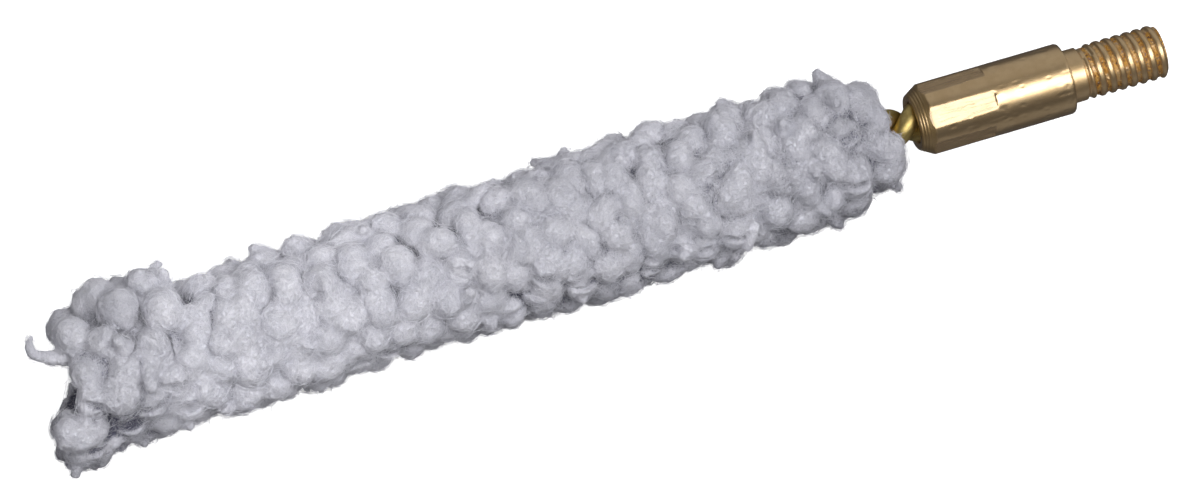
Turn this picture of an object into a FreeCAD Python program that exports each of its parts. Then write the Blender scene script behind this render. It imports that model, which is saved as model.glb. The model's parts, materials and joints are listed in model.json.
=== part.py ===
import FreeCAD, Part
import math
import os
import Sketcher
from FreeCAD import Placement, Rotation, Vector

# A cotton bore mop: a turned brass ferrule with a male rod thread, crimped on to a folded and twisted
# wire core that pinches tufts of cotton yarn loops.  X runs along the axis towards the threaded end,
# Z is up, and the origin is where the axis meets the ferrule's shoulder, the face that stops on a rod.

SIZES = {
    # turned ferrule
    "body_radius": 2.65,
    "body_length": 11.85,
    "nose_radius": 2.1,         # rear face, where the bevel ends
    "nose_length": 1.0,         # length of that bevel
    "edge_round": 0.2,          # front edge of the body, around the shoulder
    "neck_radius": 1.98,        # plain neck between the shoulder and the thread
    "neck_length": 1.2,
    "neck_round": 0.12,         # fillet where the neck meets the shoulder
    "stem_length": 7.4,         # shoulder to the end of the thread
    "end_radius": 1.35,         # flat end of the thread
    "end_bevel": 0.45,
    # 8-32 rod thread
    "thread_pitch": 25.4 / 32,
    "root_radius": 1.78,
    "crest_radius": 2.04,
    "ridge_width": 0.46,        # foot of the ridge, at the root
    "crest_width": 0.2,         # its rounded top
    "crest_rise": 0.05,
    "ridge_sink": 0.05,         # how far the ridge reaches into the root
    # crimp that grips the wire
    "crimp_flats": 6,
    "crimp_length": 5.85,       # from the rear face
    "crimp_depth": 0.1,
    # folded wire, twisted on itself
    "wire_radius": 0.725,
    "strand_gap": 0.11,         # between the two legs, where the yarn is pinched
    "bore_clearance": 0.05,
    "bore_depth": 8.0,
    "drill_point": 0.9,
    "wire_end_gap": 0.3,        # wire end to the foot of the bore
    "bend_recess": 1.3,         # folded end of the wire, inside the last tuft
    "bead_rise": 0.02,
    # cotton
    "bare_core": 1.15,          # wire that shows between the ferrule and the first tuft
    "tuft_width": 3.39,
    "tuft_gap": 0.1,
    "core_clearance": 0.12,
    "loop_radius": 1.25,
    "loop_sink": 0.6,           # foot of each loop, inside the drum
    "loops_around": 12,
    "collar_radius": 4.35,      # first tuft, at the ferrule
    "throat_radius": 5.2,       # second tuft
    "mop_radius": 5.5,          # the long middle
    "waist_radius": 5.35,       # just behind the flared tip
    "flare_radius": 6.25,       # the last two tufts
}
TUFT_RADII = ["collar_radius", "throat_radius"] + 13 * ["mop_radius"]
TUFT_RADII += ["waist_radius"] + 2 * ["flare_radius"]

# Sizes that several pieces share, as expressions on the sheet.
CORE_RADIUS = "(2 * Sizes.wire_radius + Sizes.strand_gap / 2)"
HELIX_RADIUS = "(Sizes.wire_radius + Sizes.strand_gap / 2)"
BORE_RADIUS = f"({CORE_RADIUS} + Sizes.bore_clearance)"
TUFT_STEP = "(Sizes.tuft_width + Sizes.tuft_gap)"
TWIST_PITCH = f"(2 * {TUFT_STEP})"
MOP_START = "(-Sizes.body_length - Sizes.bare_core)"
MOP_END = f"({MOP_START} - {len(TUFT_RADII)} * {TUFT_STEP})"
WIRE_START = "(-Sizes.body_length + Sizes.bore_depth - Sizes.wire_end_gap - Sizes.wire_radius)"
BEND_CENTRE = f"({MOP_END} + Sizes.bend_recess + {CORE_RADIUS})"
TWIST_LENGTH = f"({WIRE_START} - {BEND_CENTRE})"

doc = FreeCAD.newDocument("BoreMop")
sheet = doc.addObject("Spreadsheet::Sheet", "Sizes")
for row, (alias, value) in enumerate(SIZES.items(), start=1):
    sheet.set(f"A{row}", alias)
    sheet.set(f"B{row}", repr(value))
    sheet.setAlias(f"B{row}", alias)
doc.recompute()


def origin_item(body, role):
    """The body's own origin plane or axis that has this role."""
    return next(item for item in body.Origin.OriginFeatures if item.Role == role)


def sketch_on(body, name, role):
    """An empty sketch on one of the body's origin planes."""
    sketch = body.newObject("Sketcher::SketchObject", name)
    sketch.AttachmentSupport = [(origin_item(body, role), "")]
    sketch.MapMode = "FlatFace"
    return sketch


def point_at(corner):
    """The sketch point that a pair of expressions gives now."""
    return Vector(*(float(sheet.evalExpression(part)) for part in corner))


def hold(sketch, geometry, end, across, up):
    """Holds one end of a sketch line at its own pair of expressions, or on an axis where one is 0."""
    for kind, expression, axis in (("DistanceX", across, -2), ("DistanceY", up, -1)):
        if expression == "0":
            sketch.addConstraint(Sketcher.Constraint("PointOnObject", geometry, end, axis))
        else:
            distance = float(sheet.evalExpression(expression))
            held = sketch.addConstraint(Sketcher.Constraint(kind, -1, 1, geometry, end, distance))
            sketch.setExpression(f"Constraints[{held}]", expression)


def closed_outline(sketch, corners):
    """A closed outline of straight sides through corners that are pairs of expressions."""
    points = [point_at(corner) for corner in corners]
    count = len(points)
    for index, point in enumerate(points):
        sketch.addGeometry(Part.LineSegment(point, points[(index + 1) % count]), False)
    for index in range(count):
        sketch.addConstraint(Sketcher.Constraint("Coincident", index, 2, (index + 1) % count, 1))
    for index, corner in enumerate(corners):
        hold(sketch, index, 1, *corner)


def ring_edge(feature, place, radius):
    """The name of the circular edge about X at this place and radius."""
    for number, edge in enumerate(feature.Shape.Edges, start=1):
        curve = edge.Curve
        if isinstance(curve, Part.Circle) and abs(curve.Radius - radius) < 0.01:
            if abs(curve.Center.x - place) < 0.01:
                return f"Edge{number}"
    raise ValueError(f"no round edge at x {place}, radius {radius}")


def round_ring(body, name, base, place, radius, size):
    """A fillet on the one circular edge at this place and radius, which are expressions."""
    doc.recompute()
    fillet = body.newObject("PartDesign::Fillet", name)
    found = ring_edge(base, float(sheet.evalExpression(place)), float(sheet.evalExpression(radius)))
    fillet.Base = (base, [found])
    fillet.setExpression("Radius", size)
    return fillet


def polar_copies(body, name, feature, count):
    """Equal copies of a feature all the way round X."""
    pattern = body.newObject("PartDesign::PolarPattern", name)
    pattern.Originals = [feature]
    pattern.Axis = (origin_item(body, "X_Axis"), [""])
    pattern.Angle = 360
    pattern.setExpression("Occurrences", count)
    body.Tip = pattern
    return pattern


def make_ferrule():
    """The turned, bored and threaded brass ferrule, with its crimp flats."""
    body = doc.addObject("PartDesign::Body", "ferrule")
    turned = sketch_on(body, "turned_outline", "XZ_Plane")
    closed_outline(turned, [
        ("-Sizes.body_length", BORE_RADIUS),
        ("-Sizes.body_length", "Sizes.nose_radius"),
        ("-Sizes.body_length + Sizes.nose_length", "Sizes.body_radius"),
        ("0", "Sizes.body_radius"),
        ("0", "Sizes.neck_radius"),
        ("Sizes.neck_length", "Sizes.neck_radius"),
        ("Sizes.neck_length + Sizes.neck_radius - Sizes.root_radius", "Sizes.root_radius"),
        ("Sizes.stem_length - Sizes.end_bevel", "Sizes.root_radius"),
        ("Sizes.stem_length", "Sizes.end_radius"),
        ("Sizes.stem_length", "0"),
        ("-Sizes.body_length + Sizes.bore_depth + Sizes.drill_point", "0"),
        ("-Sizes.body_length + Sizes.bore_depth", BORE_RADIUS),
    ])
    turning = body.newObject("PartDesign::Revolution", "turning")
    turning.Profile = turned
    turning.ReferenceAxis = (turned, ["H_Axis"])
    turning.Angle = 360
    edge = round_ring(body, "shoulder_edge", turning, "0", "Sizes.body_radius", "Sizes.edge_round")
    root = round_ring(body, "neck_fillet", edge, "0", "Sizes.neck_radius", "Sizes.neck_round")
    doc.recompute()
    uncrimped = root.Shape.Volume

    face = sketch_on(body, "crimp_outline", "XZ_Plane")
    closed_outline(face, [
        ("-Sizes.body_length - Sizes.body_radius", "Sizes.body_radius - Sizes.crimp_depth"),
        ("-Sizes.body_length + Sizes.crimp_length", "Sizes.body_radius - Sizes.crimp_depth"),
        ("-Sizes.body_length + Sizes.crimp_length", "2 * Sizes.body_radius"),
        ("-Sizes.body_length - Sizes.body_radius", "2 * Sizes.body_radius"),
    ])
    flat = body.newObject("PartDesign::Pocket", "crimp_flat")
    flat.Profile = face
    flat.Midplane = True
    flat.setExpression("Length", "2 * Sizes.body_radius")
    flats = polar_copies(body, "crimp_flats", flat, "Sizes.crimp_flats")
    doc.recompute()
    if not 0 < uncrimped - flats.Shape.Volume < 0.05 * uncrimped:
        raise ValueError("the crimp flats cut nothing, or too much")

    ridge = sketch_on(body, "ridge_outline", "XZ_Plane")
    start = "(Sizes.neck_length + Sizes.neck_radius - Sizes.root_radius)"
    slope = "(Sizes.ridge_width - Sizes.crest_width) / 2"
    foot, shoulder = "Sizes.root_radius - Sizes.ridge_sink", "Sizes.crest_radius - Sizes.crest_rise"
    near_foot, near_top = (start, foot), (f"{start} + {slope}", shoulder)
    far_top = (f"{start} + Sizes.ridge_width - {slope}", shoulder)
    far_foot = (f"{start} + Sizes.ridge_width", foot)
    crown = (f"{start} + Sizes.ridge_width / 2", "Sizes.crest_radius")
    rise, top, fall, base = (
        ridge.addGeometry(Part.LineSegment(point_at(near_foot), point_at(near_top)), False),
        ridge.addGeometry(Part.Arc(point_at(near_top), point_at(crown), point_at(far_top)), False),
        ridge.addGeometry(Part.LineSegment(point_at(far_top), point_at(far_foot)), False),
        ridge.addGeometry(Part.LineSegment(point_at(far_foot), point_at(near_foot)), False),
    )
    # A sketch keeps every arc anticlockwise, so this one starts at its far end.
    for one, one_end, other, other_end in (
            (rise, 2, top, 2), (top, 1, fall, 1), (fall, 2, base, 1), (base, 2, rise, 1)):
        ridge.addConstraint(Sketcher.Constraint("Coincident", one, one_end, other, other_end))
    hold(ridge, rise, 1, *near_foot)
    hold(ridge, rise, 2, *near_top)
    hold(ridge, fall, 1, *far_top)
    hold(ridge, fall, 2, *far_foot)
    arc_radius = ridge.addConstraint(Sketcher.Constraint("Radius", top, ridge.Geometry[top].Radius))
    chord = "(Sizes.crest_width / 2)"
    ridge.setExpression(f"Constraints[{arc_radius}]",
                        f"({chord} * {chord} / Sizes.crest_rise + Sizes.crest_rise) / 2")

    thread = body.newObject("PartDesign::AdditiveHelix", "rod_thread")
    thread.Profile = ridge
    thread.ReferenceAxis = (origin_item(body, "X_Axis"), [""])
    thread.Mode = "pitch-height-angle"
    thread.setExpression("Pitch", "Sizes.thread_pitch")
    thread.setExpression("Height", f"Sizes.stem_length - Sizes.end_bevel - {start} - Sizes.ridge_width")
    body.Tip = thread
    # A corner between two flats, not a flat, faces straight up.
    body.Placement = Placement(Vector(), Rotation(Vector(1, 0, 0), 180 / SIZES["crimp_flats"]))
    return body


def make_leg(number, half_turn):
    """One leg of the folded wire: a round bar along a helix about +Z, up to the fold."""
    path = doc.addObject("Part::Helix", f"leg_path_{number}")
    path.setExpression("Pitch", TWIST_PITCH)
    path.setExpression("Height", TWIST_LENGTH)
    path.setExpression("Radius", HELIX_RADIUS)
    section = doc.addObject("Part::Circle", f"leg_section_{number}")
    section.setExpression("Radius", "Sizes.wire_radius")
    section.Placement = Placement(Vector(), Rotation(Vector(-1, 0, 0), 1))
    section.setExpression("Placement.Base.x", HELIX_RADIUS)
    section.setExpression("Placement.Rotation.Angle", f"atan(2 * pi * {HELIX_RADIUS} / {TWIST_PITCH})")
    leg = doc.addObject("Part::Sweep", f"leg_{number}")
    leg.Sections = [section]
    leg.Spine = (path, ["Edge1"])
    leg.Solid = True
    leg.Frenet = True
    leg.Placement = Placement(Vector(), Rotation(Vector(0, 0, 1), half_turn))
    # A bead, a little fatter than the wire, rounds the corner where the leg turns into the fold.
    bead = doc.addObject("Part::Sphere", f"bead_{number}")
    bead.setExpression("Radius", "Sizes.wire_radius + Sizes.bead_rise")
    turned = f"(360 * {TWIST_LENGTH} / {TWIST_PITCH} + {half_turn})"
    bead.setExpression("Placement.Base.x", f"{HELIX_RADIUS} * cos({turned})")
    bead.setExpression("Placement.Base.y", f"{HELIX_RADIUS} * sin({turned})")
    bead.setExpression("Placement.Base.z", TWIST_LENGTH)
    return [leg, bead]


def make_core_wire():
    """The core, one wire folded in half with its legs twisted together, laid along -X."""
    stand = Rotation(Vector(1, 0, 0), 90)
    fold = doc.addObject("Part::Torus", "fold")
    fold.setExpression("Radius1", HELIX_RADIUS)
    fold.setExpression("Radius2", "Sizes.wire_radius")
    fold.Angle3 = 180
    turned = float(sheet.evalExpression(f"360 * {TWIST_LENGTH} / {TWIST_PITCH}"))
    fold.Placement = Placement(Vector(), Rotation(Vector(0, 0, 1), turned) * stand)
    fold.setExpression("Placement.Base.z", TWIST_LENGTH)
    core = doc.addObject("Part::MultiFuse", "core_wire")
    core.Shapes = [fold] + make_leg(1, 0) + make_leg(2, 180)
    core.Placement = Placement(Vector(), Rotation(Vector(0, 1, 0), -90))
    core.setExpression("Placement.Base.x", WIRE_START)
    return core


def make_tuft(number, radius):
    """One tuft of yarn loops, pinched by a half turn of the core: a drum ringed by domed loops."""
    body = doc.addObject("PartDesign::Body", f"cotton_tuft_{number:02d}")
    inner, half = f"{CORE_RADIUS} + Sizes.core_clearance", "Sizes.tuft_width / 2"
    rim = f"Sizes.{radius} - Sizes.loop_radius"
    drum = sketch_on(body, f"drum_outline_{number:02d}", "XZ_Plane")
    closed_outline(drum, [(f"-{half}", inner), (f"-{half}", rim), (half, rim), (half, inner)])
    wound = body.newObject("PartDesign::Revolution", f"drum_{number:02d}")
    wound.Profile = drum
    wound.ReferenceAxis = (drum, ["H_Axis"])
    wound.Angle = 360

    loop = sketch_on(body, f"loop_outline_{number:02d}", "XZ_Plane")
    sunk = f"{rim} - Sizes.loop_sink"
    low, side, tip = ("0", sunk), ("Sizes.loop_radius", sunk), ("Sizes.loop_radius", rim)
    crown = ("0", f"Sizes.{radius}")
    centre = point_at(("0", rim))
    size = SIZES["loop_radius"]
    dome = Part.ArcOfCircle(Part.Circle(centre, Vector(0, 0, 1), size), 0, math.pi / 2)
    floor, wall, cap, spine = (
        loop.addGeometry(Part.LineSegment(point_at(low), point_at(side)), False),
        loop.addGeometry(Part.LineSegment(point_at(side), point_at(tip)), False),
        loop.addGeometry(dome, False),
        loop.addGeometry(Part.LineSegment(point_at(crown), point_at(low)), False),
    )
    for one, other in ((floor, wall), (wall, cap), (cap, spine), (spine, floor)):
        loop.addConstraint(Sketcher.Constraint("Coincident", one, 2, other, 1))
    hold(loop, floor, 1, *low)
    hold(loop, wall, 1, *side)
    hold(loop, wall, 2, *tip)
    hold(loop, spine, 1, *crown)
    dome_radius = loop.addConstraint(Sketcher.Constraint("Radius", cap, size))
    loop.setExpression(f"Constraints[{dome_radius}]", "Sizes.loop_radius")
    domed = body.newObject("PartDesign::Revolution", f"loop_{number:02d}")
    domed.Profile = loop
    domed.ReferenceAxis = (loop, ["V_Axis"])
    domed.Angle = 360
    polar_copies(body, f"loops_{number:02d}", domed, "Sizes.loops_around")

    # Half a step of turn leaves a pair of loops, not one, to stand on.
    body.Placement = Placement(Vector(), Rotation(Vector(1, 0, 0), 180 / SIZES["loops_around"]))
    body.setExpression("Placement.Base.x", f"{MOP_START} - {number - 0.5} * {TUFT_STEP}")
    return body


pieces = [make_ferrule(), make_core_wire()]
pieces += [make_tuft(number, radius) for number, radius in enumerate(TUFT_RADII, start=1)]
doc.recompute()

failed = [item.Label for item in doc.Objects if {"Invalid", "Error"} & set(item.State)]
failed += [piece.Label for piece in pieces if piece.Shape.isNull() or not piece.Shape.isValid()]
if failed:
    raise ValueError("these did not build: " + ", ".join(failed))

os.makedirs("parts", exist_ok=True)
for piece in pieces:
    piece.Shape.exportStep(f"parts/{piece.Label}.step")
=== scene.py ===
import json
import math
import bpy
import numpy as np
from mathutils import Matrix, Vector


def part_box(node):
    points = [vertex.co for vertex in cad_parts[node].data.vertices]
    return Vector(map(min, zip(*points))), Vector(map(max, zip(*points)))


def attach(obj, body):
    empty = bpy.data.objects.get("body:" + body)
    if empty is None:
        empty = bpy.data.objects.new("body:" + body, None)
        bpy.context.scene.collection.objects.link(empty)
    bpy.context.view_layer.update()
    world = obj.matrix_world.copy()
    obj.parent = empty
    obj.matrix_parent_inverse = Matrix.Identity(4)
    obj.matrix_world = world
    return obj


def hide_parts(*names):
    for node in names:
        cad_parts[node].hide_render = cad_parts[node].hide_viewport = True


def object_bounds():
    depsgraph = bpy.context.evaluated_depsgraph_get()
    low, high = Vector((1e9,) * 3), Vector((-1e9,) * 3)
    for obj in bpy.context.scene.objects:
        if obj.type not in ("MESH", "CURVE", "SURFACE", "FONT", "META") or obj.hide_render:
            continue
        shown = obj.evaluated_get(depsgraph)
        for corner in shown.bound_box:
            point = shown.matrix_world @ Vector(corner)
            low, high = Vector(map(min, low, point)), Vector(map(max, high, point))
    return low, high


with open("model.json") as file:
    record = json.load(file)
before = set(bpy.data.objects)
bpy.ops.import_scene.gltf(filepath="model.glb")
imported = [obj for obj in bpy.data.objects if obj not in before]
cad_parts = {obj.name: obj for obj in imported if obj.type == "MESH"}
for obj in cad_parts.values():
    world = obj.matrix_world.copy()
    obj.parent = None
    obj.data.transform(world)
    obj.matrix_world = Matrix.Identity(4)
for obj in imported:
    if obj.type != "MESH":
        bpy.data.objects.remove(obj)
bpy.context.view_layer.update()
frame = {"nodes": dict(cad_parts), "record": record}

# ---------------------------------------------------------------------------------------------------
# Ferrule.  One piece of brass bar, turned to a plain body with a bevelled mouth, a thinner neck and a
# male rod thread.  Its bore takes the twisted wire, and six crimp jaws have squeezed flats round it.
# ---------------------------------------------------------------------------------------------------
MM = 0.001
mounts = {mount["name"]: mount for mount in frame["record"]["mounts"]}
ferrule_low, ferrule_high = (np.array(corner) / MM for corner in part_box("ferrule"))
MOUTH, SHOULDER, STEM_END = ferrule_low[0], mounts["shoulder"]["pos_m"][0] / MM, ferrule_high[0]
BODY_RADIUS, NECK_RADIUS = ferrule_high[2], mounts["neck"]["dims"]["r_mm"]
NECK_LENGTH = mounts["neck"]["dims"]["length_mm"]
CORE_RADIUS = (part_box("core_wire")[1][2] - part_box("core_wire")[0][2]) / 2 / MM
BORE_RADIUS = CORE_RADIUS + 0.08
FRONT = math.radians(31.6)          # the side that faces the viewer, as a turn from +Z towards -Y


def value_noise(points, size, seed):
    """Smooth random values from -1 to 1.  Random numbers sit on a cubic lattice of this size and are
    blended across each cell by the smoothstep of the place inside it."""
    lattice = np.random.default_rng(seed).uniform(-1, 1, (32, 32, 32))
    place = np.asarray(points) / size
    cell = np.floor(place).astype(int)
    inside = place - cell
    inside = inside * inside * (3 - 2 * inside)
    total = np.zeros(place.shape[:-1])
    for corner in np.ndindex(2, 2, 2):
        weight = np.prod(np.where(corner, inside, 1 - inside), axis=-1)
        total += weight * lattice[tuple(np.moveaxis((cell + corner) % 32, -1, 0))]
    return total


def smooth(low, high, value):
    """0 at low and beyond, 1 at high and beyond, and the smoothstep curve between.  High may be the
    smaller of the two."""
    part = np.clip((value - low) / (high - low), 0, 1)
    return part * part * (3 - 2 * part)


def around_x(x, radius, angle):
    """Points at these places along X, radii and angles, which run from +Z towards -Y."""
    x, radius, angle = np.broadcast_arrays(x, radius, angle)
    return np.stack([x, -radius * np.sin(angle), radius * np.cos(angle)], axis=-1)


def new_piece(name, points, faces, marks=None, unit=MM):
    """An object, shaded smooth, whose mesh has these points, in millimetres unless another unit is
    given, and these faces, each a list of points.  Marks are named values at the points."""
    mesh = bpy.data.meshes.new(name)
    mesh.from_pydata((points * unit).tolist(), [], faces)
    for key, values in (marks or {}).items():
        mesh.attributes.new(key, "FLOAT", "POINT").data.foreach_set("value", values.astype(np.float32))
    mesh.polygons.foreach_set("use_smooth", np.ones(len(mesh.polygons), bool))
    mesh.update()
    piece = bpy.data.objects.new(name, mesh)
    bpy.context.scene.collection.objects.link(piece)
    return piece


def tube_faces(rows, columns, offset=0):
    """The four-sided faces between neighbouring rows of points, each row closed into a ring."""
    row, column = np.meshgrid(np.arange(rows - 1), np.arange(columns), indexing="ij")
    near, far = row * columns + column, row * columns + (column + 1) % columns
    return np.stack([near, far, far + columns, near + columns], axis=-1).reshape(-1, 4) + offset


def spaced(corners):
    """Points along a bent line through corners (x, radius, spacing), each stretch at its own spacing."""
    line = [np.array([corners[0][:2]])]
    for (x0, r0, _), (x1, r1, step) in zip(corners, corners[1:]):
        count = max(2, round(math.hypot(x1 - x0, r1 - r0) / step))
        share = np.arange(1, count + 1)[:, None] / count
        line.append(np.array([x0, r0]) + share * np.array([x1 - x0, r1 - r0]))
    return np.concatenate(line)


BEVEL, NOSE_RADIUS = 1.0, 2.05
THREAD_PITCH, ROOT_RADIUS, RIDGE_HEIGHT, RIDGE_HALF = 25.4 / 32, 1.81, 0.2, 0.25
CRIMP_END, CRIMP_SHALLOW, CRIMP_DEEP = -6.0, 2.555, 2.53
FIRST_CREST, CREST_ANGLE = 1.24, FRONT - math.pi / 2
outline = spaced([
    (MOUTH + 2.6, 0.0, 0.3), (MOUTH + 2.6, BORE_RADIUS, 0.3), (MOUTH + 0.1, BORE_RADIUS, 0.12),
    (MOUTH, BORE_RADIUS + 0.12, 0.04), (MOUTH, NOSE_RADIUS, 0.04),
    (MOUTH + BEVEL, BODY_RADIUS, 0.035), (CRIMP_END - 0.4, BODY_RADIUS, 0.11),
    (CRIMP_END + 0.4, BODY_RADIUS, 0.04), (SHOULDER - 0.2, BODY_RADIUS, 0.12),
    (SHOULDER - 0.06, BODY_RADIUS - 0.05, 0.03), (SHOULDER, BODY_RADIUS - 0.2, 0.03),
    (SHOULDER, NECK_RADIUS + 0.1, 0.08), (SHOULDER + 0.1, NECK_RADIUS, 0.03),
    (NECK_LENGTH - 0.05, NECK_RADIUS, 0.07), (NECK_LENGTH + 0.1, ROOT_RADIUS, 0.04),
    (STEM_END, ROOT_RADIUS, 0.04), (STEM_END, ROOT_RADIUS - 0.1, 0.05), (STEM_END, 0.0, 0.2),
])
columns = 208
angle = np.arange(columns) * 2 * math.pi / columns
x, radius = (np.repeat(side[1:-1, None], columns, axis=1) for side in outline.T)
angle = np.broadcast_to(angle, x.shape)
place = around_x(x, radius, angle)
outside = smooth(BORE_RADIUS + 0.05, BORE_RADIUS + 0.2, radius)

# The jaws press a little deeper at the mouth, so each flat is a plane that leans in towards it.
pressed = np.zeros(x.shape)
for jaw in range(6):
    turn = angle - FRONT - math.radians(2) - jaw * math.pi / 3
    facing = np.maximum(np.cos(turn), 0.3)
    end = CRIMP_END - 0.18 * ((jaw * 5) % 3)
    lean = CRIMP_SHALLOW + (CRIMP_DEEP - CRIMP_SHALLOW) * (end - x) / (end - MOUTH - BEVEL)
    rough = (0.003 if jaw == 0 else 0.01) * value_noise(place, 0.4, 10 + jaw)
    near_mouth = np.exp(-((x - MOUTH - BEVEL - 0.35) / 0.5) ** 2)
    ripple = 0.006 * near_mouth * np.sin(24 * (x + 0.12 * np.abs(6 * np.sin(turn)) ** 2))
    flat = (lean + rough + ripple) / facing
    under = smooth(end + 0.1, end - 0.06, x) * (x > MOUTH - 0.01) * (flat < radius)
    radius = radius + (flat - radius) * under
    pressed = np.maximum(pressed, (0.25 if jaw == 0 else 1.0) * under * (radius > NOSE_RADIUS + 0.1))

# Turning leaves rings on the bevel and the mouth.  The body waves slightly and has small dents.
bevel = smooth(MOUTH + BEVEL + 0.06, MOUTH + BEVEL - 0.1, x) * outside
ring = smooth(MOUTH + BEVEL - 0.1, MOUTH + 0.4 * BEVEL, x) * outside
tool_marks = np.sin(x * 2 * math.pi / 0.19) + value_noise(place * [1, 0.05, 0.05], 0.07, 3)
radius = radius + 0.012 * ring * tool_marks
dented = np.maximum(value_noise(place * [0.6, 1, 1], 0.36, 41) - 0.3, 0) * (1 - bevel) * (radius > 2.3)
radius = radius + (0.005 * value_noise(place, 1.6, 4) - 0.045 * dented) * outside

# The ridge of the thread climbs one pitch a turn, and fades in and out over its ends.
turns = (x - FIRST_CREST) / THREAD_PITCH - (angle - CREST_ANGLE) / (2 * math.pi)
from_crest = np.abs(turns - np.round(turns)) * THREAD_PITCH
wobble = 1 + 0.08 * value_noise(place, 0.8, 5)
ridge = np.sqrt(1 - np.minimum(from_crest / (RIDGE_HALF * wobble), 1) ** 2.6)
grown = smooth(-0.35, 0.15, turns)
on_thread = smooth(NECK_LENGTH + 0.05, NECK_LENGTH + 0.2, x) * (radius > ROOT_RADIUS - 0.01)
radius = radius + RIDGE_HEIGHT * ridge * grown * (x > NECK_LENGTH - 0.15) * (radius > ROOT_RADIUS - 0.01)
valley = on_thread * (1 - ridge) * smooth(0.0, 0.5, 1 - ridge)
crust = np.maximum(value_noise(place, 0.16, 6) + 0.5 * value_noise(place, 0.07, 7) - 0.25, 0)
radius = radius + 0.1 * crust * valley
worn_end = 0.3 * np.clip((x - STEM_END + 0.45) / 0.45, 0, 1) ** 2.5
radius = np.minimum(radius, np.where(x > NECK_LENGTH, ROOT_RADIUS + 0.25 - worn_end, 9))

# Handling has left small pits in the body.
PITS = 46
pit_rng = np.random.default_rng(8)
pits = zip(pit_rng.uniform(-10, -0.5, PITS), pit_rng.uniform(0, 2 * math.pi, PITS),
           pit_rng.uniform(0.05, 0.13, PITS))
for pit_x, pit_angle, pit_size in pits:
    around = (angle - pit_angle + math.pi) % (2 * math.pi) - math.pi
    apart = ((x - pit_x) / (1.5 * pit_size)) ** 2 + (around * BODY_RADIUS / pit_size) ** 2
    radius = radius - 0.03 * np.exp(-apart) * (radius > 2.3)

rows = len(outline) - 2
points = around_x(x, radius, angle).reshape(-1, 3)
poles = np.array([[outline[0, 0], 0, 0], [outline[-1, 0], 0, 0]])
first, last = np.arange(columns), (rows - 1) * columns + np.arange(columns)
caps = np.concatenate([
    np.stack([np.full(columns, len(points)), np.roll(first, -1), first], axis=-1),
    np.stack([np.full(columns, len(points) + 1), last, np.roll(last, -1)], axis=-1),
])
ferrule_faces = tube_faces(rows, columns).tolist() + caps.tolist()
valley = valley * (0.6 + 0.4 * value_noise(place, 0.5, 9))
turned_fine = np.maximum(bevel, (x > SHOULDER - 0.01) * 0.7)
ferrule_marks = {key: np.concatenate([mark.ravel(), [0, 0]]) for key, mark in
                 {"grime": valley, "pressed": pressed, "bevel": bevel, "lathe": turned_fine}.items()}


class Flow:
    """A socket of a material's node tree.  Arithmetic on it, or between two of them, adds Math nodes."""

    def __init__(self, finish, socket):
        self.finish, self.socket = finish, socket

    def _math(self, operation, *values):
        return self.finish.node("ShaderNodeMath", {"operation": operation}, *values)

    def __add__(self, other):
        return self._math("ADD", self, other)

    def __sub__(self, other):
        return self._math("SUBTRACT", self, other)

    def __rsub__(self, other):
        return self._math("SUBTRACT", other, self)

    def __mul__(self, other):
        return self._math("MULTIPLY", self, other)

    __radd__, __rmul__ = __add__, __mul__

    def ramp(self, low, high):
        """0 below low and 1 above high, with a smooth step between."""
        settings = {"interpolation_type": "SMOOTHSTEP"}
        return self.finish.node("ShaderNodeMapRange", settings, self, low, high, 0.0, 1.0)


class Finish:
    """A material with one Principled shader, built from Python expressions."""

    def __init__(self, name, **constants):
        self.material = bpy.data.materials.new(name)
        self.material.use_nodes = True
        self.tree = self.material.node_tree
        self.shader = self.tree.nodes["Principled BSDF"]
        for key, value in constants.items():
            self.shader.inputs[key.replace("_", " ")].default_value = value

    def node(self, kind, settings, *values, output=0, **named):
        """Adds a node, makes its settings, then gives its inputs these values or links."""
        node = self.tree.nodes.new(kind)
        for key, value in settings.items():
            if key == "stops":
                self._stops(node.color_ramp, value)
            else:
                setattr(node, key, value)
        for key, value in list(enumerate(values)) + [(k.replace("_", " "), v) for k, v in named.items()]:
            if isinstance(value, Flow):
                self.tree.links.new(value.socket, node.inputs[key])
            elif value is not None:
                node.inputs[key].default_value = value
        return Flow(self, node.outputs[output])

    @staticmethod
    def _stops(ramp, stops):
        while len(ramp.elements) < len(stops):
            ramp.elements.new(0.5)
        for element, (position, colour) in zip(ramp.elements, stops):
            element.position = position
            element.color = (*colour, 1)

    def place(self, stretch=(1, 1, 1)):
        """Object coordinates, scaled so that a pattern of size 1 is this many millimetres each way."""
        coordinates = self.node("ShaderNodeTexCoord", {}, output="Object")
        scale = tuple(1 / (MM * part) for part in stretch)
        return self.node("ShaderNodeMapping", {}, Vector=coordinates, Scale=scale)

    def noise(self, place, scale, detail=2.0, rough=0.5, warp=0.0):
        return self.node("ShaderNodeTexNoise", {}, Vector=place, Scale=scale, Detail=detail,
                         Roughness=rough, Distortion=warp)

    def blend(self, share, first, second):
        """Colour from first to second by share."""
        mix = self.tree.nodes.new("ShaderNodeMix")
        mix.data_type = "RGBA"
        for index, value in ((0, share), (6, first), (7, second)):
            if isinstance(value, Flow):
                self.tree.links.new(value.socket, mix.inputs[index])
            elif index:
                mix.inputs[index].default_value = (*value, 1)
            else:
                mix.inputs[index].default_value = value
        return Flow(self, mix.outputs[2])

    def attribute(self, name):
        return self.node("ShaderNodeAttribute", {"attribute_name": name}, output="Fac")

    def bump(self, height, depth, strength=1.0):
        """A normal from a height, where 1 stands for this many millimetres."""
        return self.node("ShaderNodeBump", {}, Height=height, Distance=depth * MM, Strength=strength)

    def drive(self, **inputs):
        for key, value in inputs.items():
            self.tree.links.new(value.socket, self.shader.inputs[key.replace("_", " ")])


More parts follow.
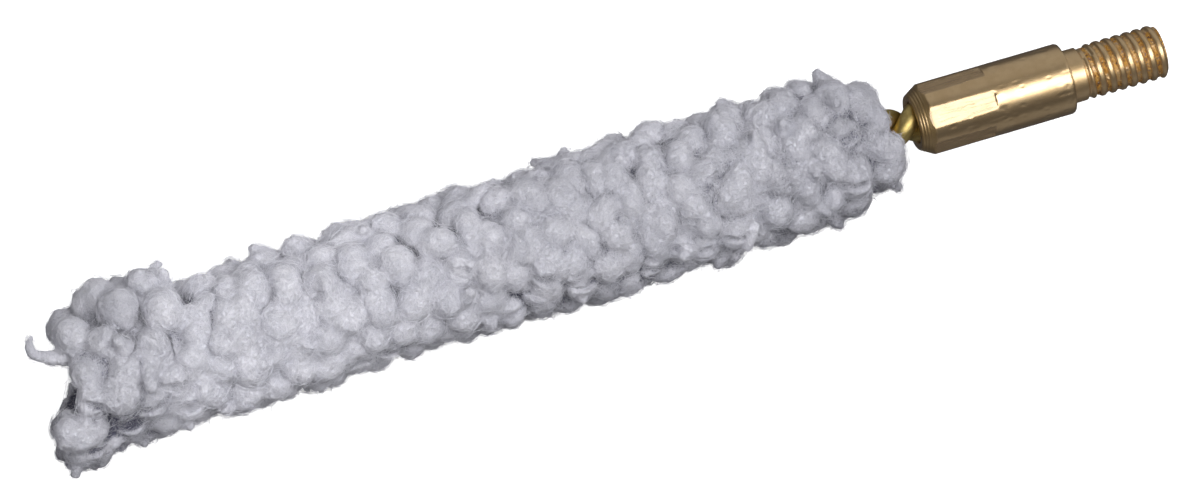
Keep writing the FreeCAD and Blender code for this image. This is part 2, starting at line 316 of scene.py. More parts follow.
def turned_brass():
    """Satin turned brass: fine rings on the neck and bevel, scratched jaw flats, a few brown specks, a
    bevel darkened browner by painted shade for the dim reflection it shows, and orange to purple stains
    with bright crumbs in the roots of the thread."""
    finish = Finish("turned_brass", Coat_Roughness=0.3, Coat_IOR=2.0)
    place = finish.place()
    rings = finish.noise(finish.place((0.11, 4.0, 4.0)), 1.0, 2.0, 0.6)
    lathe = finish.attribute("lathe")
    slant = finish.node("ShaderNodeMapping", {}, Vector=place, Rotation=(0.3, 0.5, 0.6),
                        Scale=(0.5, 7.0, 7.0))
    scratches = finish.noise(slant, 1.0, 3.0, 0.6, 0.5).ramp(0.5, 0.66) * finish.attribute("pressed")
    cloud = finish.noise(place, 0.9, 4.0, 0.6)
    specks = finish.noise(place, 5.0, 3.0, 0.6).ramp(0.7, 0.76)
    stain = finish.attribute("grime")
    patch = finish.noise(place, 3.2, 3.0, 0.65)
    crumbs = finish.noise(place, 9.0, 2.0, 0.6).ramp(0.6, 0.68) * stain
    colour = finish.blend(cloud.ramp(0.3, 0.7), (0.78, 0.55, 0.28), (0.69, 0.47, 0.225))
    # Painted shade: the bevel is painted darker brown to stand in for the dim reflection it shows.
    colour = finish.blend(finish.attribute("bevel") * 0.85, colour, (0.46, 0.30, 0.11))
    colour = finish.blend(specks * 0.6, colour, (0.32, 0.17, 0.06))
    flats = finish.attribute("pressed").ramp(0.02, 0.2)
    colour = finish.blend(flats * 0.4, colour, (0.48, 0.34, 0.19))
    colour = finish.blend(scratches * 0.6, colour, (0.34, 0.24, 0.15))
    rust = finish.node("ShaderNodeValToRGB", {"stops": [
        (0.34, (0.08, 0.045, 0.03)), (0.45, (0.38, 0.17, 0.025)), (0.54, (0.52, 0.29, 0.055)),
        (0.64, (0.18, 0.095, 0.085))]}, patch)
    stained = stain.ramp(0.1, 0.7)
    colour = finish.blend(stained, colour, rust)
    colour = finish.blend(crumbs * 0.6, colour, (0.95, 0.74, 0.50))
    rough = (0.28 + 0.08 * cloud + 0.14 * lathe * rings + 0.25 * scratches + 0.12 * flats
             + 0.06 * lathe + 0.2 * stained)
    height = (0.1 + 0.9 * lathe) * rings * 0.5 + 0.9 * scratches + 0.8 * patch * stain + 0.8 * crumbs
    finish.drive(Base_Color=colour, Roughness=rough, Metallic=1 - 0.4 * stained,
                 Coat_Weight=0.6 - 0.6 * stained, Normal=finish.bump(height, 0.025, 0.8))
    return finish.material


ferrule = new_piece("ferrule_brass", np.concatenate([points, poles]), ferrule_faces, ferrule_marks)
ferrule.data.materials.append(turned_brass())
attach(ferrule, "root")
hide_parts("ferrule")

# ---------------------------------------------------------------------------------------------------
# Core wire.  Soft drawn brass wire, folded in half at the tip and twisted left-handed on itself, so
# that its two legs pinch the yarn.  It shows beside the ferrule, and its fold inside the open tip.
# ---------------------------------------------------------------------------------------------------
TUFTS = sorted(name for name in frame["nodes"] if name.startswith("cotton_tuft_"))
tuft_boxes = {name: [np.array(corner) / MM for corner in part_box(name)] for name in TUFTS}
TUFT_STEP = tuft_boxes[TUFTS[0]][0][0] - tuft_boxes[TUFTS[1]][0][0]
MOP_START, MOP_END = tuft_boxes[TUFTS[0]][1][0], tuft_boxes[TUFTS[-1]][0][0]
WIRE_RADIUS, HELIX_RADIUS = 0.745, 0.765
wire_low, wire_high = (np.array(corner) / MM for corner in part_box("core_wire"))
TWIST, TIGHT_TWIST = 2 * TUFT_STEP, 4.6      # one turn: inside the mop, and beside the ferrule
CROSSING = -12.45                            # where a leg crosses the front of the mop
LEG_ROWS, FOLD_ROWS, WIRE_COLUMNS = 700, 24, 28


def along_path(path, radii, columns):
    """The points of a tube along a path (rows, 3): rings at these radii, square to the path, each
    starting from the side that the path's direction and one fixed direction give."""
    ahead = np.gradient(path, axis=0)
    ahead /= np.linalg.norm(ahead, axis=1, keepdims=True)
    side = np.cross(ahead, [0.13, 0.27, 0.95])
    side /= np.linalg.norm(side, axis=1, keepdims=True)
    up = np.cross(side, ahead)
    turn = np.arange(columns) * 2 * math.pi / columns
    ring = np.cos(turn)[None, :, None] * side[:, None] + np.sin(turn)[None, :, None] * up[:, None]
    points = path[:, None] + ring * np.reshape(radii, (-1, 1, 1))
    return points.reshape(-1, 3)


def capped_faces(rows, columns, offset=0):
    """The faces of a closed tube: quads round its sides, and a many-sided face across each end."""
    faces = tube_faces(rows, columns, offset).tolist()
    faces.append((np.arange(columns)[::-1] + offset).tolist())
    faces.append((np.arange(columns) + (rows - 1) * columns + offset).tolist())
    return faces


def bow(x):
    """How far the middle of the mop lies off X, towards the lower front: from its start it leans away
    evenly."""
    hang = 0.0205 * np.maximum(MOP_START - np.asarray(x, float), 0)
    return np.stack([0 * hang, -0.84 * hang, -0.54 * hang], axis=-1)


wire_rows = np.linspace(wire_high[0], wire_low[0] + HELIX_RADIUS + WIRE_RADIUS, LEG_ROWS)
tightness = 2 * math.pi / (TWIST + (TIGHT_TWIST - TWIST) * smooth(-17.5, -15, wire_rows))
wire_turn = np.cumsum(tightness) * (wire_rows[0] - wire_rows[1])
wire_turn += FRONT - np.interp(-CROSSING, -wire_rows, wire_turn)
wire_points, wire_faces = [], []
for leg in (0, 1):
    turn = wire_turn + leg * math.pi
    path = around_x(wire_rows, HELIX_RADIUS, turn) + bow(wire_rows)
    wire_faces += capped_faces(LEG_ROWS, WIRE_COLUMNS, offset=leg * LEG_ROWS * WIRE_COLUMNS)
    wire_points.append(along_path(path, np.full(LEG_ROWS, WIRE_RADIUS), WIRE_COLUMNS))
half = np.linspace(0, math.pi, FOLD_ROWS)
fold = around_x(wire_rows[-1] - HELIX_RADIUS * np.sin(half), HELIX_RADIUS * np.cos(half), wire_turn[-1])
wire_faces += capped_faces(FOLD_ROWS, WIRE_COLUMNS, offset=2 * LEG_ROWS * WIRE_COLUMNS)
wire_points.append(along_path(fold + bow(wire_rows[-1]), np.full(FOLD_ROWS, WIRE_RADIUS), WIRE_COLUMNS))
core = new_piece("core_strands", np.concatenate(wire_points), wire_faces)


def drawn_wire():
    """Drawn brass gone a little green-gold, with fine drawing lines and dull patches."""
    finish = Finish("drawn_wire", Metallic=1.0)
    place = finish.place()
    lines = finish.noise(finish.place((0.5, 0.06, 0.06)), 1.0, 2.0, 0.6)
    cloud = finish.noise(place, 2.2, 3.0, 0.6)
    colour = finish.blend(cloud.ramp(0.3, 0.7), (0.66, 0.52, 0.20), (0.52, 0.39, 0.14))
    finish.drive(Base_Color=colour, Roughness=0.3 + 0.2 * lines + 0.1 * cloud,
                 Normal=finish.bump(lines, 0.02, 0.5))
    return finish.material


core.data.materials.append(drawn_wire())
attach(core, "root")
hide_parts("core_wire")

# ---------------------------------------------------------------------------------------------------
# Cotton tufts.  Soft cotton yarn, looped out from between the wires and back, one bundle in each half
# turn of the twist.  The loops crowd into rounded lumps, and flare at the tip where nothing holds them.
# ---------------------------------------------------------------------------------------------------
LOOPS, LOOP_ROWS, LOOP_COLUMNS = 335, 15, 14
WISPS, WISP_ROWS, WISP_COLUMNS = 90, 14, 10
VOXEL, SMOOTHING = 0.15, 15                 # lattice of the fused skins, and how often each is smoothed
MOP_RADIUS = 5.48
FIRST_LOOPS, LAST_LOOPS = -15.4, -76.4      # the middles of the first and last rings of loops
PACKED_RADIUS, COLLAR_PACKED = 4.0, 2.7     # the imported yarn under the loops, and in the first tuft
PACKED_START, TIP_HOLLOW = -14.6, 0.9       # where it starts, and how far it stops short of the tip
DISH_START = -74.4                          # the open end is dished from here on
DISH_MIDDLE, DISH_TURN = FRONT - 0.35, 0.95     # over this turn each way from its middle
DARK_LOOP_X, DARK_LOOP_ANGLE = -23.5, FRONT + 0.2   # one loop is painted darker, as painted shade


def surface_radius(x, angle):
    """How high the loops' tops stand: level along the middle, stepping up near the tip on the side that
    lies up, a little on the other, and drawn in to a rounded collar at the ferrule."""
    up_side = (0.5 + 0.5 * np.cos(angle - CREST_ANGLE)) ** 1.3
    tip = smooth(-66.6, -69.2, x)
    end = smooth(-73.6, -76.5, x)
    collar = smooth(-17.8, -14.4, x)
    waist = np.exp(-((x + 65.8) / 1.8) ** 2)
    flare = tip * (0.1 + 1.45 * up_side) * (1 - 0.85 * end) + 0.45 * end * (1 - up_side)
    return MOP_RADIUS - 0.2 * waist * up_side + flare - 1.55 * collar


def crowd(count, rng):
    """Evenly crowded random places (x, angle): points on the unrolled mop that push each other apart."""
    length, girth = FIRST_LOOPS - LAST_LOOPS, 2 * math.pi * MOP_RADIUS
    place = rng.uniform(0, 1, (count, 2)) * [length, girth]
    reach = 1.6 * math.sqrt(length * girth / count)
    for _ in range(60):
        apart = place[:, None] - place[None]
        apart[..., 1] = (apart[..., 1] + girth / 2) % girth - girth / 2
        distance = np.linalg.norm(apart, axis=-1) + 1e-6
        push = np.maximum(1 - distance / reach, 0) * (distance > 1e-5)
        place = place + 0.12 * (apart * (push / distance)[..., None]).sum(1)
        place[:, 0] = np.clip(place[:, 0], 0, length)
    return LAST_LOOPS + place[:, 0], place[:, 1] % girth / MOP_RADIUS


def yarn_loop(x, angle, heading, spread, yarn, top, lean):
    """The path (points, radii) of one loop of yarn: it rises from the core, turns over at the top and
    goes back, as a flattened half ellipse in the plane of the radius and the heading."""
    part = np.linspace(0, math.pi, LOOP_ROWS)
    across = -spread * np.cos(part)
    foot = CORE_RADIUS + yarn + 0.15
    height = foot + (top - yarn - foot) * np.sin(part) ** 0.55
    along_x = x + across * math.cos(heading) + lean * ((height - foot) / (top - foot)) ** 1.5
    turned = angle + across * math.sin(heading) / np.maximum(height, 2.5)
    thickness = yarn * np.sqrt(np.maximum(1 - (np.cos(part) * 0.985) ** 20, 0.05))
    return around_x(along_x, height, turned) + bow(along_x), thickness


def packed_yarn(start, end, radius, columns=48):
    """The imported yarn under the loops: a ring with a hole for the wires, a closed tube of four rows.
    Nothing closes the hole at the tip."""
    turn = np.arange(columns) * 2 * math.pi / columns
    rows = [(start, CORE_RADIUS + 0.1), (start, radius), (end, radius), (end, CORE_RADIUS + 0.1)]
    points = np.concatenate([around_x(x, r, turn) + bow(x) for x, r in rows])
    column = np.arange(columns)
    last = [3 * columns + column, 3 * columns + (column + 1) % columns, (column + 1) % columns, column]
    return points, tube_faces(4, columns).tolist() + np.stack(last, axis=-1).tolist()


def fused(points, faces, voxel, passes):
    """One closed skin round overlapping closed shapes, on a lattice of this size, then relaxed: its
    points, their normals and its four-sided faces."""
    lump = new_piece("lump", points, faces, unit=1)
    skin = lump.modifiers.new("skin", "REMESH")
    skin.mode, skin.voxel_size = "VOXEL", voxel
    relax = lump.modifiers.new("relax", "SMOOTH")
    relax.factor, relax.iterations = 0.5, passes
    graph = bpy.context.evaluated_depsgraph_get()
    made = bpy.data.meshes.new_from_object(lump.evaluated_get(graph))
    vertices = np.empty(len(made.vertices) * 3, np.float32)
    normals = np.empty(len(made.vertices) * 3, np.float32)
    corners = np.empty(len(made.polygons) * 4, np.int32)
    made.vertices.foreach_get("co", vertices)
    made.vertices.foreach_get("normal", normals)
    made.polygons.foreach_get("vertices", corners)
    bpy.data.objects.remove(lump)
    vertices, normals = (values.reshape(-1, 3).astype(float) for values in (vertices, normals))
    return vertices, normals, corners.reshape(-1, 4).tolist()


yarn_rng = np.random.default_rng(21)
loop_x, loop_angle = crowd(LOOPS, yarn_rng)
right_part = smooth(-52, -32, loop_x)
round_the_mop = yarn_rng.uniform(0, 1, LOOPS) < 0.25 + 0.5 * right_part
loop_heading = np.where(round_the_mop, math.pi / 2 + yarn_rng.normal(0, 0.35, LOOPS),
                        yarn_rng.uniform(0, math.pi, LOOPS))
long_one = yarn_rng.uniform(0, 1, LOOPS) < 0.2 + 0.4 * right_part
loop_spread = yarn_rng.uniform(0.05, 0.45, LOOPS) + long_one * yarn_rng.uniform(0.3, 0.9, LOOPS)
loop_yarn = yarn_rng.uniform(1.1, 1.5, LOOPS) - 0.15 * long_one
loop_top = surface_radius(loop_x, loop_angle) + yarn_rng.normal(0, 0.24, LOOPS)
up_side = 0.5 + 0.5 * np.cos(loop_angle - CREST_ANGLE)
loop_lean = -1.5 * smooth(-72.5, -76, loop_x) * yarn_rng.uniform(0.4, 1.2, LOOPS) * (1 - up_side)
loop_x = loop_x + 1.4 * up_side * smooth(-72.5, LAST_LOOPS, loop_x)
loops = np.stack([loop_x, loop_angle, loop_heading, loop_spread, loop_yarn, loop_top, loop_lean], axis=-1)
off_dish = (loop_angle - DISH_MIDDLE + math.pi) % (2 * math.pi) - math.pi
loops = loops[(loop_x > DISH_START) | (np.abs(off_dish) > DISH_TURN)]

# Loops with a place of their own, as yarn_loop takes them: beside the ferrule, round the dished open
# end, over two thin spots of the middle, and the one painted darker with painted shade.
loops = np.concatenate([loops, [
    (-14.75, FRONT + 0.68, 1.62, 1.3, 1.12, 4.3, 0.25), (-16.0, FRONT - 0.62, 1.3, 0.8, 1.45, 5.0, 0.0),
    (-15.9, FRONT - 0.05, 1.5, 0.5, 1.2, 4.4, 0.0), (-15.2, FRONT + 2.4, 1.6, 1.2, 1.2, 4.2, 0.0),
    (-15.1, FRONT - 1.9, 1.5, 1.1, 1.2, 4.1, 0.0), (-75.2, FRONT - 0.85, 1.25, 0.55, 1.35, 6.1, -0.35),
    (-72.6, FRONT - 1.35, 1.2, 0.4, 1.3, 7.2, 0.0), (DARK_LOOP_X, DARK_LOOP_ANGLE, 1.4, 0.45, 1.4, 5.7, 0.0),
    (-76.9, FRONT + 0.75, 1.2, 0.2, 0.9, 5.7, -1.5), (-76.5, FRONT + 1.5, 1.5, 0.2, 0.95, 5.9, -1.1),
    (-75.8, FRONT + 1.15, 1.6, 0.2, 1.0, 5.9, -0.3), (-40.8, FRONT + 0.45, 1.4, 0.5, 1.3, 5.6, 0.0),
    (-41.6, FRONT + 0.75, 1.3, 0.5, 1.25, 5.6, 0.0), (-39.3, FRONT + 0.6, 1.5, 0.4, 1.25, 5.6, 0.0),
    (-75.1, FRONT - 0.2, 1.4, 0.3, 1.25, 5.3, 0.0), (-75.2, FRONT + 0.3, 1.9, 0.3, 1.25, 5.5, -0.1),
    (-64.5, FRONT - 0.35, 1.65, 0.9, 1.25, 5.5, 0.0), (-66.6, FRONT - 0.5, 1.2, 0.4, 1.2, 5.5, 0.0),
    (-63.9, FRONT - 0.75, 1.6, 0.5, 1.25, 5.5, 0.0), (-65.2, FRONT + 0.05, 1.3, 0.4, 1.25, 5.4, 0.0),
    (-75.4, FRONT + 2.6, 1.5, 0.6, 1.3, 5.0, -1.0), (-74.6, FRONT - 2.4, 1.5, 0.6, 1.3, 5.0, 0.0),
    (-75.5, FRONT + 0.8, 1.5, 0.5, 1.3, 5.2, -0.6),
]])
paths, radii = zip(*(yarn_loop(*loop) for loop in loops.tolist()))


def wisp(x, angle, foot, reach, curl, thick):
    """The path (points, radii) of a twist of loose cotton, drawn out to a point: foot + t reach + t^2
    curl, with reach and curl in the directions (along X, round the mop, outwards)."""
    share = np.linspace(0, 1, WISP_ROWS)[:, None]
    moved = share * reach + share ** 2 * curl
    path = around_x(x + moved[:, 0], foot + moved[:, 2], angle + moved[:, 1] / foot)
    return path + bow(path[:, 0]), thick * (1 - 0.6 * share[:, 0] ** 0.8)


# One long wisp curls out of the open end, five have a place of their own, and the others are tugged
# out of the loops all over.
wisps = [wisp(-75.0, FRONT - 0.66, 3.4, (-9.4, -1.1, 0.6), (6.5, -0.7, 0.7), 0.7),
         wisp(-68.6, CREST_ANGLE + 0.12, 5.6, (0.6, 0.0, 1.2), (0.5, 0.0, 0.0), 0.8),
         wisp(-77.2, FRONT + 1.35, 5.0, (-0.5, 0.2, 1.3), (0.0, 0.0, 0.0), 0.9),
         wisp(-14.9, FRONT + 1.25, 3.3, (0.5, 0.3, 1.2), (0.2, 0.0, 0.0), 0.8),
         wisp(-19.6, FRONT + 1.45, 4.6, (0.3, 0.2, 1.2), (0.3, 0.0, 0.0), 0.9),
         wisp(-17.3, CREST_ANGLE + 0.1, 4.4, (-0.3, 0.0, 1.3), (-0.3, 0.0, 0.0), 1.0)]
wisp_x = yarn_rng.uniform(LAST_LOOPS, FIRST_LOOPS, WISPS)
wisp_angle = yarn_rng.uniform(0, 2 * math.pi, WISPS)
wisp_top = surface_radius(wisp_x, wisp_angle) + yarn_rng.uniform(-0.1, 0.4, WISPS)
wisp_way = np.stack([yarn_rng.normal(0, 0.6, WISPS), yarn_rng.normal(0, 0.6, WISPS),
                     np.full(WISPS, 1.3)], axis=-1)
for x, angle, top, way in zip(wisp_x, wisp_angle, wisp_top, wisp_way):
    wisps.append(wisp(x, angle, top - 1.3, way, 0.4 * way * [1, 1, 0], 0.85))

# How much of the neighbourhood of each spot is yarn, on a lattice: about a half on a flat face, less
# on top of a lump, and more in the hollows between lumps.
FIELD_STEP = 0.25
field_low = np.array([MOP_END - 6, -9.5, -9.5])
field_shape = (304, 76, 76)
reach = np.arange(-6, 7)
stamp = np.stack(np.meshgrid(reach, reach, reach, indexing="ij"), axis=-1).reshape(-1, 3)
knots = np.concatenate(paths)
cells = np.round((knots - field_low) / FIELD_STEP).astype(int)[:, None] + stamp
from_knot = np.linalg.norm(field_low + cells * FIELD_STEP - knots[:, None], axis=-1)
near = from_knot < np.concatenate(radii)[:, None]
filled = np.zeros(field_shape)
filled[tuple(cells[near].T)] = 1
lattice = field_low + FIELD_STEP * np.stack(np.meshgrid(*map(np.arange, field_shape), indexing="ij"), axis=-1)
hub = np.linalg.norm((lattice - bow(lattice[..., 0]))[..., 1:], axis=-1)
along_mop = (lattice[..., 0] < FIRST_LOOPS - 1) & (lattice[..., 0] > MOP_END + 1)
filled[(hub < PACKED_RADIUS + 0.1) & along_mop] = 1
waves = [np.fft.fftfreq(size, FIELD_STEP) for size in field_shape[:2]]
waves.append(np.fft.rfftfreq(field_shape[2], FIELD_STEP))


def blurred(values, width):
    """The lattice blurred by a bell curve of this width, through its Fourier transform."""
    squares = sum(wave ** 2 for wave in np.meshgrid(*waves, indexing="ij"))
    return np.fft.irfftn(np.fft.rfftn(values) * np.exp(-2 * (math.pi * width) ** 2 * squares), values.shape)


crowding = 0.6 * blurred(filled, 0.5) + 0.4 * blurred(filled, 1.0)


def read_lattice(values, points):
    """Values from the lattice at these points, blended from the eight corners of each one's cell."""
    place = (points - field_low) / FIELD_STEP
    cell = np.clip(np.floor(place).astype(int), 0, np.array(values.shape) - 2)
    inside = place - cell
    total = np.zeros(len(points))
    for corner in np.ndindex(2, 2, 2):
        weight = np.prod(np.where(corner, inside, 1 - inside), axis=-1)
        total += weight * values[tuple((cell + corner).T)]
    return total


def cotton(name, woven, light, shade):
    """Soft bleached cotton: matte and mottled from light to shade, and darkened by painted shade where the
    loops meet. The woven one also has curled fibres, along the level lines of several warped noises."""
    finish = Finish(name, Roughness=0.95, Sheen_Weight=0.1, Sheen_Roughness=0.6, Specular_IOR_Level=0.1)
    place = finish.place()
    hollow = finish.attribute("hollow")
    cloud = finish.noise(place, 0.4, 3.0, 0.6)
    colour = finish.blend(cloud.ramp(0.3, 0.7), light, shade)
    shade_colour = (0.085, 0.085, 0.125)
    if woven:
        pale, dim = 0.0, 0.0
        for layer, scale in enumerate((0.9, 1.3, 1.7, 2.3, 1.1, 1.9)):
            shift = (7 * layer, 3 * layer, -5 * layer)
            moved = finish.node("ShaderNodeMapping", {}, Vector=place, Location=shift)
            level = finish.noise(moved, scale, 2.0, 0.55, 1.2) - 0.5
            thread = 1 - finish.node("ShaderNodeMath", {"operation": "ABSOLUTE"}, level).ramp(0.004, 0.03)
            pale, dim = (pale + thread, dim) if layer % 3 else (pale, dim + thread)
        grain = finish.noise(place, 8.0, 2.0, 0.8)
        streaks = 0.5 * (finish.noise(finish.place((0.35, 0.1, 0.12)), 1.0, 2.0, 0.6, 1.0)
                         + finish.noise(finish.place((0.11, 0.3, 0.3)), 1.0, 2.0, 0.6, 1.0))
        colour = finish.blend(dim * 0.2, colour, (0.5, 0.5, 0.58))
        colour = finish.blend(pale * 0.18, colour, (0.98, 0.97, 1.0))
        colour = finish.blend(grain.ramp(0.3, 0.7) * 0.34, colour, (0.5, 0.5, 0.57))
        # Painted shade: the colour is darkened by the painted shade values, and more in streaks where the
        # crevices are deepest.
        deep_shade = (hollow + 2.2 * (streaks - 0.5) - 0.12 * pale).ramp(0.45, 0.95)
        colour = finish.blend(hollow * 0.5 + deep_shade * 0.5, colour, shade_colour)
        finish.drive(Normal=finish.bump(0.25 * pale - 0.25 * dim + 0.9 * grain, 0.08, 1.0))
    else:
        # Painted shade: the fluff is darkened by the same painted shade values.
        colour = finish.blend(hollow * 0.8, colour, shade_colour)
    finish.drive(Base_Color=colour)
    return finish.material


FIBRES = 2900
FIBRE_ROWS = 3


def fluff(skin, normals, rng):
    """Fine loose fibres over a skin.  Each is a thin three-sided tube, pointed at both ends, on a bowed
    path through a random point of the skin: most lie along it and about one in six stands off it."""
    outer = np.flatnonzero(read_lattice(crowding, skin) < 0.8)
    pick = rng.choice(outer, FIBRES)
    start, up_way = skin[pick], normals[pick]
    way = np.cross(up_way, rng.normal(0, 1, (FIBRES, 3)))
    way /= np.linalg.norm(way, axis=1, keepdims=True)
    side = np.cross(up_way, way)
    length = rng.uniform(0.7, 2.0, FIBRES)[:, None, None]
    part = np.linspace(-0.5, 0.5, FIBRE_ROWS + 2)[None, :, None] * length
    curl, drop, lift = (rng.uniform(*span, FIBRES)[:, None, None] for span in
                        ((-0.5, 0.5), (0.0, 0.35), (0.0, 0.14)))
    stray = (rng.uniform(0, 1, FIBRES) < 0.16)[:, None, None]
    rise = np.where(stray, rng.uniform(0.1, 0.4, FIBRES)[:, None, None] * (part + 0.5 * length), 0)
    wave = 0.05 * np.sin(part * 5 + rng.uniform(0, 6, FIBRES)[:, None, None])
    path = (start[:, None] + way[:, None] * part + side[:, None] * (curl * part ** 2 + wave)
            + up_way[:, None] * (lift + rise - drop * part ** 2))
    turn = np.arange(3) * 2 * math.pi / 3
    thick = 0.5 * rng.uniform(0.018, 0.034, FIBRES)[:, None, None, None]
    ring = np.cos(turn)[:, None] * side[:, None, None] + np.sin(turn)[:, None] * up_way[:, None, None]
    rings = path[:, 1:-1, None] + thick * ring
    points = np.concatenate([path[:, :1], rings.reshape(FIBRES, -1, 3), path[:, -1:]], axis=1)
    last, column = 3 * FIBRE_ROWS + 1, np.arange(3)
    final = 3 * (FIBRE_ROWS - 1) + 1
    ends = np.concatenate([np.stack([0 * column, 1 + (column + 1) % 3, 1 + column], axis=-1),
                           np.stack([0 * column + last, final + column, final + (column + 1) % 3], axis=-1)])
    sides = tube_faces(FIBRE_ROWS, 3, 1)
    first = np.arange(FIBRES)[:, None, None] * (last + 1)
    faces = (ends + first).reshape(-1, 3).tolist() + (sides + first).reshape(-1, 4).tolist()
    return points.reshape(-1, 3), faces


def fibre_map():
    """A flat map for the fibres: each has its own square of a grid, its length across and its three
    sides up, in the order of the corners of fluff's faces."""
    side = math.ceil(math.sqrt(FIBRES))
    one = np.arange(FIBRES)
    corner = np.stack([one % side, one // side], axis=-1)[:, None] + 0.1
    column = np.arange(3)
    nib = np.stack([0 * column, column + 0.5, 0 * column + 1, column + 1, 0 * column + 1, column], axis=-1)
    tail = np.stack([0 * column + FIBRE_ROWS + 1, column + 0.5, 0 * column + FIBRE_ROWS, column,
                     0 * column + FIBRE_ROWS, column + 1], axis=-1)
    row, column = np.meshgrid(np.arange(1, FIBRE_ROWS), np.arange(3), indexing="ij")
    quads = np.stack([row, column, row, column + 1, row + 1, column + 1, row + 1, column], axis=-1)
    scale = 0.8 / np.array([FIBRE_ROWS + 1, 3])
    flat = [(part.reshape(1, -1, 2) * scale + corner) / side for part in (np.concatenate([nib, tail]), quads)]
    return np.concatenate([part.reshape(-1, 2) for part in flat])


DARK_LOOP_SPOT = around_x(DARK_LOOP_X, 5.3, DARK_LOOP_ANGLE) + bow(DARK_LOOP_X)
UNDERSIDE = math.radians(150)       # the side turned down, which gets painted shade too
HALF_GAP, BEYOND = 0.05, 99         # half the gap between CAD tufts, and a place past either end


def shadow(points):
    """How much painted shade darkens the cotton: a little in each crevice, nearly all the way in the
    deepest ones, and more towards the ferrule, at the tip, on the underside and round one loop."""
    crowded = read_lattice(crowding, points)
    straight = points - bow(points[:, 0])
    below = np.arctan2(-straight[:, 1], straight[:, 2]) - UNDERSIDE
    # Broad painted shade: darker towards the ferrule, at the tip and on the underside.
    broad_shade = (0.25 * smooth(-56, -38, points[:, 0]) + 0.17 * smooth(-26, -17, points[:, 0])
              + 0.3 * smooth(-67, -72, points[:, 0]) + 0.35 * smooth(0.3, 0.9, np.cos(below)))
    # Painted shade round one loop, which is painted darker.
    stained = 0.3 * np.exp(-np.sum((points - DARK_LOOP_SPOT) ** 2, axis=-1) / 1.3 ** 2)
    # Painted shade in the crevices, where the yarn is most crowded, stronger in patches.
    patchy = np.clip(0.7 - 0.7 * value_noise(points, 3.5, 34) + 0.4 * value_noise(points, 1.7, 33), 0.25, 1)
    crevice = 0.22 * smooth(0.42, 0.62, crowded) + 0.68 * smooth(0.53, 0.76, crowded) * patchy
    return np.clip(crevice + broad_shade + stained, 0, 1)


yarn_finish = cotton("cotton_yarn", True, (0.88, 0.875, 0.935), (0.76, 0.76, 0.825))
fluff_finish = cotton("cotton_fluff", False, (0.95, 0.945, 1.0), (0.88, 0.88, 0.945))
flat_fibres = fibre_map()
for number, name in enumerate(TUFTS, start=1):
    low, high = tuft_boxes[name]
    at_ferrule, at_tip = number == 1, number == len(TUFTS)
    start = low[0] + TIP_HOLLOW if at_tip else low[0] - HALF_GAP
    end = PACKED_START if at_ferrule else high[0] + HALF_GAP
    packed, faces = packed_yarn(start, end, COLLAR_PACKED if at_ferrule else PACKED_RADIUS)
    first_x = -BEYOND if at_tip else low[0] - HALF_GAP
    last_x = BEYOND if at_ferrule else high[0] + HALF_GAP
    strands = [(path, thick, LOOP_COLUMNS) for path, thick, loop in zip(paths, radii, loops)
               if first_x < loop[0] <= last_x]
    strands += [(path, thick, WISP_COLUMNS) for path, thick in wisps if first_x < path[0, 0] <= last_x]
    parts = [packed]
    for path, thick, columns in strands:
        faces += capped_faces(len(path), columns, offset=sum(len(part) for part in parts))
        parts.append(along_path(path, thick, columns))
    skin, normals, quads = fused(np.concatenate(parts), faces, VOXEL, SMOOTHING)
    down = (0.42 + 0.35 * value_noise(skin, 3.5, 34)) * smooth(0.55, 0.88, read_lattice(crowding, skin))
    rough = (0.1 * value_noise(skin, 1.3, 29) + 0.11 * value_noise(skin, 0.7, 30)
             + 0.06 * value_noise(skin, 0.32, 31))
    outwards = (skin - bow(skin[:, 0])) * [0, 1, 1]
    outwards /= np.linalg.norm(outwards, axis=1, keepdims=True)
    skin = skin + outwards * down[:, None] + normals * rough[:, None]
    # The tuft and its fluff carry the painted shade as values at their points, which their finishes read.
    tuft = new_piece(f"yarn_tuft_{number:02d}", skin, quads, {"hollow": shadow(skin)})
    tuft.data.materials.append(yarn_finish)
    points, faces = fluff(skin, normals, np.random.default_rng(100 + number))
    fuzz = new_piece(f"fluff_{number:02d}", points, faces, {"hollow": shadow(points)})
    fuzz.data.uv_layers.new(name="OFBake").data.foreach_set("uv", flat_fibres.ravel().astype(np.float32))
    fuzz.data.materials.append(fluff_finish)
    for piece in (tuft, fuzz):
        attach(piece, "root")
        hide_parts(name)

# ---------------------------------------------------------------------------------------------------
# Floor, camera and lights.  White paper that glows, so that it stays white in the shade of the mop,
# and a set of soft boxes round the line from the camera to the mop.
# ---------------------------------------------------------------------------------------------------
bpy.ops.mesh.primitive_plane_add(size=3, location=(0, 0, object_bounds()[0][2]))
floor = bpy.context.object
floor.name = "floor"
paper = Finish("paper", Roughness=1.0, Base_Color=(0.95, 0.95, 0.95, 1), Emission_Color=(1, 1, 1, 1),
               Emission_Strength=0.75)
floor.data.materials.append(paper.material)
floor.visible_diffuse = False
floor.visible_glossy = False

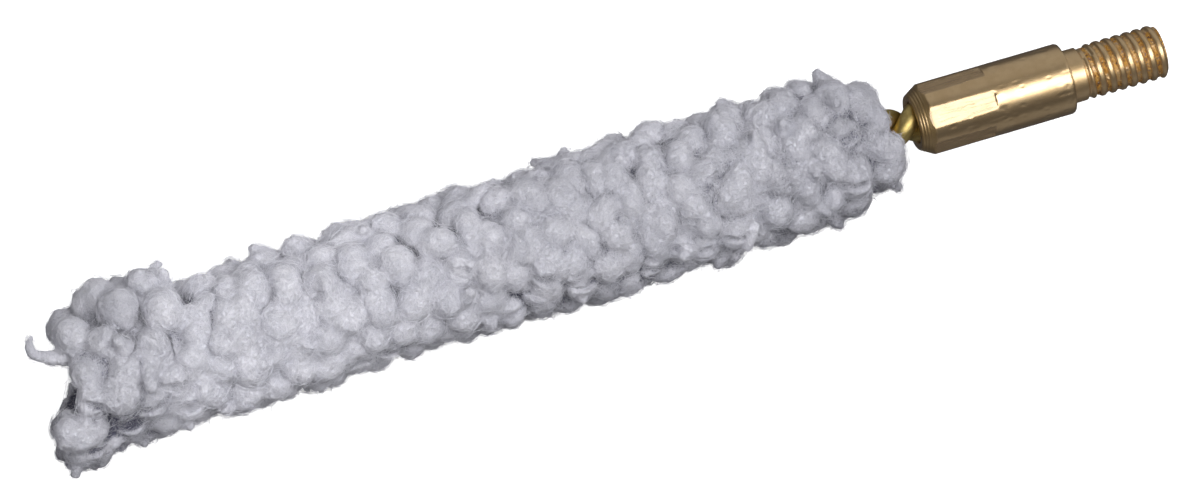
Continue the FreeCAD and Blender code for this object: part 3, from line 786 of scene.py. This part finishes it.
AZIMUTH, ELEVATION = math.radians(19.31), math.radians(56.93)
ahead = np.array([math.cos(ELEVATION) * math.sin(AZIMUTH), math.cos(ELEVATION) * math.cos(AZIMUTH),
                  -math.sin(ELEVATION)])
right = np.array([math.cos(AZIMUTH), -math.sin(AZIMUTH), 0])
up = np.cross(right, ahead)
VIEW_WIDTH = 86.3309 * MM           # how much of the object's plane the camera sees
AIM_RIGHT, AIM_UP = -33.8201, -12.2374      # from the shoulder to the middle of the view
VIEW_DISTANCE, SENSOR_WIDTH = 0.6, 36
aim = (AIM_RIGHT * right + AIM_UP * up) * MM
camera_data = bpy.data.cameras.new("camera")
camera_data.sensor_width = SENSOR_WIDTH
camera_data.lens = SENSOR_WIDTH * VIEW_DISTANCE / VIEW_WIDTH
camera_data.clip_start, camera_data.clip_end = 0.01, 20
camera = bpy.data.objects.new("camera", camera_data)
bpy.context.scene.collection.objects.link(camera)


def point_at(thing, spot, target):
    """Puts a camera or light at a spot, looking along its own -Z at the target, upright."""
    thing.location = Vector(spot)
    thing.rotation_euler = (Vector(target) - Vector(spot)).to_track_quat("-Z", "Y").to_euler()


# The aim lies in the plane through the origin that faces the camera, so the object's own depth there
# has to be followed: the middle of the frame looks at the point of the axis below it.
depth_shift = ahead * (ahead[0] / (1 - ahead[0] ** 2)) * float(aim @ (np.array([1, 0, 0]) - ahead[0] * ahead))
target = aim + depth_shift
point_at(camera, target - ahead * VIEW_DISTANCE, target)
bpy.context.scene.camera = camera


def softbox(name, direction, size, power):
    """A soft rectangular light, in the direction (right, up, towards the camera) from the middle of
    the view and as far from it as the camera."""
    light = bpy.data.lights.new(name, "AREA")
    light.shape = "RECTANGLE"
    light.size, light.size_y = size
    light.energy = power
    box = bpy.data.objects.new(name, light)
    bpy.context.scene.collection.objects.link(box)
    heading = direction[0] * right + direction[1] * up - direction[2] * ahead
    heading = heading / np.linalg.norm(heading)
    point_at(box, target + heading * VIEW_DISTANCE, target)
    box.visible_camera = False
    return box


softbox("key", (0.36, 0.02, 1.0), (0.9, 0.3), 3.8)
softbox("sky", (0.1, 0.97, 0.12), (1.4, 0.8), 1.15).visible_diffuse = False
softbox("fill", (0.0, 0.3, 1.0), (0.5, 0.3), 1.4).visible_glossy = False
softbox("back", (0.0, 0.9, -0.42), (1.2, 0.4), 2.2).visible_glossy = False
under = softbox("under", (0.2, -1.0, -0.1), (1.4, 0.4), 0.3)
under.visible_diffuse = False
under.data.use_shadow = False
world = bpy.data.worlds.new("studio")
bpy.context.scene.world = world
world.use_nodes = True
world.node_tree.nodes["Background"].inputs["Color"].default_value = (0.075, 0.075, 0.081, 1)
bpy.context.scene.view_settings.view_transform = "Standard"
